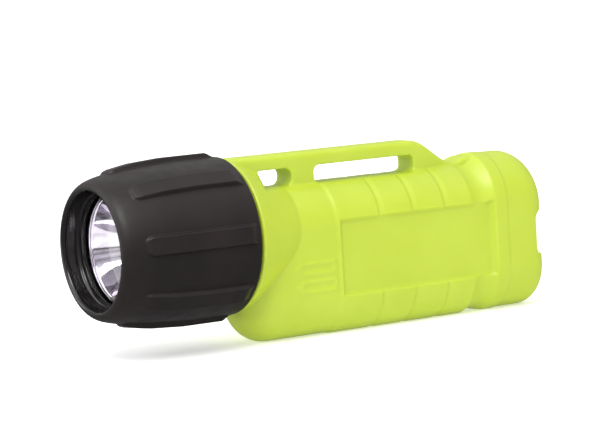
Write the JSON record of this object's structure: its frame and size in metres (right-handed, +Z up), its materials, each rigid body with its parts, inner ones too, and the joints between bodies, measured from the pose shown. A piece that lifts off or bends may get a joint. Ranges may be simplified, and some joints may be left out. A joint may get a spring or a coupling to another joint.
{
  "type": "hand torch",
  "caption": "Stand-up hand torch with a battery body for cells one above the other, a lanyard rail, a ribbed twist bezel over a lens and reflector, and the lamp module inside.",
  "frame": {"origin": "centre of the flat underside that the torch stands on", "axes": "+X along the beam, +Z up through the lanyard rail, +Y across the body"},
  "size_m": [0.1206, 0.039, 0.0451],
  "materials": {
    "aluminium": "machined",
    "black_plastic": "satin black moulded plastic",
    "black_rubber": "matt seal rubber",
    "brass": "plain brass",
    "bright_metal": "vapour-deposited aluminium mirror",
    "cell_sleeve": "printed shrink sleeve",
    "cell_steel": "nickel-plated steel",
    "chip_epoxy": "moulded epoxy",
    "foam": "closed-cell foam",
    "green_solder_mask": "green solder mask",
    "led_ceramic": "white ceramic",
    "led_silicone": "clear silicone over phosphor",
    "lens_plastic": "clear polished polycarbonate",
    "safety_yellow_plastic": "fine satin moulded thermoplastic, high-visibility yellow-green",
    "seal_plastic": "nylon",
    "spring_steel": "nickel-plated spring steel",
    "white_solder_mask": "white solder mask",
    "wire_insulation": "coloured insulation"
  },
  "bodies": {
    "housing": {"cell_cushion": "foam", "front_contact_strip": "brass", "housing": "safety_yellow_plastic", "lower_cell_can": "cell_steel", "lower_cell_cap": "cell_steel", "lower_cell_seal": "seal_plastic", "lower_cell_sleeve": "cell_sleeve", "neck_o_ring": "black_rubber", "rear_contact_plate": "spring_steel", "rear_contact_rivets": "brass", "rear_spring_lower": "spring_steel", "rear_spring_upper": "spring_steel", "strip_rivets": "brass", "upper_cell_can": "cell_steel", "upper_cell_cap": "cell_steel", "upper_cell_seal": "seal_plastic", "upper_cell_sleeve": "cell_sleeve"},
    "lamp": {"lamp_case": "black_plastic", "reflector": "bright_metal", "reflector_ring": "black_plastic", "heat_sink": "aluminium", "led_board": "white_solder_mask", "board_screws": "spring_steel", "led_leads": "wire_insulation", "led_emitter": "led_ceramic", "led_dome": "led_silicone", "driver_board": "green_solder_mask", "driver_chips": "chip_epoxy", "barrel_end_cap": "black_plastic", "centre_contact": "brass", "centre_contact_spring": "spring_steel", "contact_ring": "brass"},
    "bezel": {"bezel": "black_plastic", "lens": "lens_plastic", "lens_gasket": "black_rubber", "lens_retainer": "black_plastic", "module_clip": "spring_steel"}
  },
  "joints": [
    {"name": "lamp_slide", "type": "slide", "parent": "housing", "child": "lamp", "axis": [1, 0, 0], "range_m": [-0.0004, 0.006]},
    {"name": "bezel_twist", "type": "hinge", "parent": "lamp", "child": "bezel", "pos_m": [0.0419, 0, 0.0256], "axis": [1, 0, 0], "range_deg": [-36, 540]}
  ],
  "couplings": [
    {"joint": "lamp_slide", "follows": "bezel_twist", "m_per_rad": 0.00063662}
  ]
}
